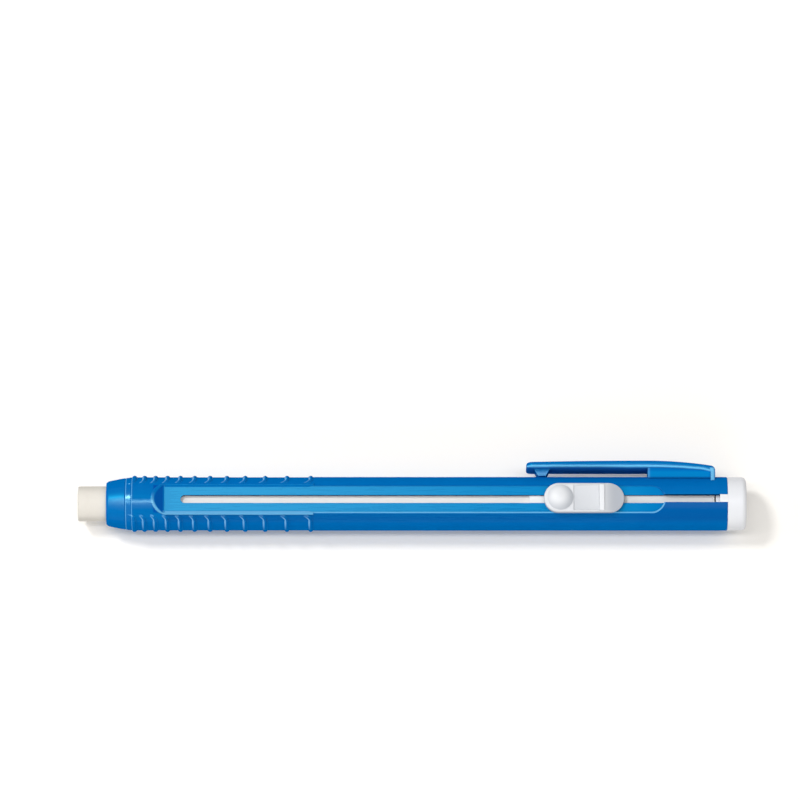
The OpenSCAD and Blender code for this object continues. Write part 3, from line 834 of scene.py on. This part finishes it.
def model_button():
    button = round_plate("thumb_slide_button", BUTTON_HALF, BUTTON_UNDER, BUTTON_TOP)
    round_off(button, BUTTON_ROUND, 5, lambda face: face.normal.z > 0.9)
    bar = round_plate("bar", BUTTON_HALF - BAR_INSET, BUTTON_TOP - BAR_ROOT, BUTTON_TOP + BAR_H)
    front_cut = block("front_cut", (BUTTON_FRONT - 1, -CUT_HALF, CUT_LOW),
                      (BAR_FRONT, CUT_HALF, CUT_HIGH))
    combine(bar, front_cut, "DIFFERENCE")
    round_off(bar, BAR_ROUND, 4, lambda face: face.normal.z > 0.9)
    combine(button, bar, "UNION")
    combine(button, make_ramp_cut(), "DIFFERENCE")
    hollow_half = BUTTON_HALF - HOLLOW_RIM
    hollow = block("hollow", (HOLLOW_FRONT, -hollow_half, BUTTON_TOP - HOLLOW_DEPTH),
                   (BAR_FRONT - 0.02, hollow_half, BUTTON_TOP + 1))
    round_off(hollow, HOLLOW_ROUND, 3, lambda face: face.normal.z < -0.9)
    combine(button, hollow, "DIFFERENCE")
    combine(button, make_dome(), "UNION")
    stem_notch = block("stem_notch", (STEM_FRONT, -STEM_HALF, CUT_LOW),
                       (STEM_REAR, STEM_HALF, STEM_TOP))
    combine(button, stem_notch, "DIFFERENCE")
    close_gaps(button)
    smooth(button, 32)
    button.data.materials.append(button_white)
    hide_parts("thumb_button")
    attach(button, "slider")


model_button()

# Bench and light

BENCH_Z, BENCH_BRIGHTENS = -5.5, (110, 450)
BENCH_GLOW, ROOM_STRENGTH = 0.07, 0.36
HOLDER_MIDDLE_M = Vector((0.065, 0, 0))
# name, direction, distance, length and width in m, watts, and whether gloss mirrors it
LAMPS = (
    ("window_light", (-0.58, 0.371, 1.117), 1.0, 0.18, 0.18, 3.8, True),
    ("long_tube", (0, -0.042, 0.999), 1.1, 1.5, 0.16, 4.7, True),
    ("low_fill", (0.1, -0.9, 0.42), 1.2, 1.0, 0.5, 3.6, False),
    ("side_glint", (-1, 0.15, 0.5), 0.7, 0.12, 0.35, 0.7, True))


def lay_bench():
    """White bench, which the viewer sees lifted a little, and to full white far out."""
    bpy.ops.object.select_all(action="DESELECT")
    bpy.ops.mesh.primitive_plane_add(size=3, location=(0.06, 0, BENCH_Z * MM))
    bench = bpy.context.object
    bench.name = "bench_top"
    material = bpy.data.materials.new("bench_white")
    material.use_nodes = True
    tree = material.node_tree
    tree.nodes.clear()
    paper = add_node(tree, "ShaderNodeBsdfDiffuse", {"Color": BENCH})
    glow = add_node(tree, "ShaderNodeEmission", {"Color": WHITE})
    path = add_node(tree, "ShaderNodeLightPath")
    seen = do_math(tree, "MAXIMUM", path.outputs["Is Camera Ray"],
                   path.outputs["Is Transmission Ray"])
    x, y, _ = places_of(tree)
    lift = ramp_between(tree, length_of(tree, x, y), *BENCH_BRIGHTENS, BENCH_GLOW, 1.0)
    tree.links.new(do_math(tree, "MULTIPLY", seen, lift), glow.inputs["Strength"])
    both = add_node(tree, "ShaderNodeAddShader")
    tree.links.new(paper.outputs[0], both.inputs[0])
    tree.links.new(glow.outputs[0], both.inputs[1])
    out = add_node(tree, "ShaderNodeOutputMaterial")
    tree.links.new(both.outputs[0], out.inputs["Surface"])
    bench.data.materials.append(material)


def hang_light(name, towards, distance, length, width, watts, mirrored):
    """Hangs an area lamp in a direction from the holder's middle, and turns it to face it."""
    data = bpy.data.lights.new(name, "AREA")
    data.shape = "RECTANGLE"
    data.size, data.size_y = length, width
    data.energy = watts
    light = bpy.data.objects.new(name, data)
    light.visible_glossy = mirrored
    bpy.context.scene.collection.objects.link(light)
    towards = Vector(towards).normalized()
    side = Vector((0, 1, 0)).cross(towards).normalized()
    turn = Matrix((side, towards.cross(side), towards)).transposed().to_4x4()
    light.matrix_world = Matrix.Translation(HOLDER_MIDDLE_M + towards * distance) @ turn


def light_room():
    """Warm white room light, plain white where the camera sees the room itself."""
    world = bpy.data.worlds.new("soft_room")
    bpy.context.scene.world = world
    world.use_nodes = True
    tree = world.node_tree
    tree.nodes.clear()
    path = add_node(tree, "ShaderNodeLightPath")
    room = add_node(tree, "ShaderNodeBackground", {"Color": ROOM, "Strength": ROOM_STRENGTH})
    seen = add_node(tree, "ShaderNodeBackground", {"Color": WHITE, "Strength": 1})
    mix = add_node(tree, "ShaderNodeMixShader")
    out = add_node(tree, "ShaderNodeOutputWorld")
    tree.links.new(path.outputs["Is Camera Ray"], mix.inputs[0])
    tree.links.new(room.outputs[0], mix.inputs[1])
    tree.links.new(seen.outputs[0], mix.inputs[2])
    tree.links.new(mix.outputs[0], out.inputs["Surface"])


lay_bench()
light_room()
for lamp in LAMPS:
    hang_light(*lamp)
bpy.context.scene.view_settings.view_transform = "Standard"
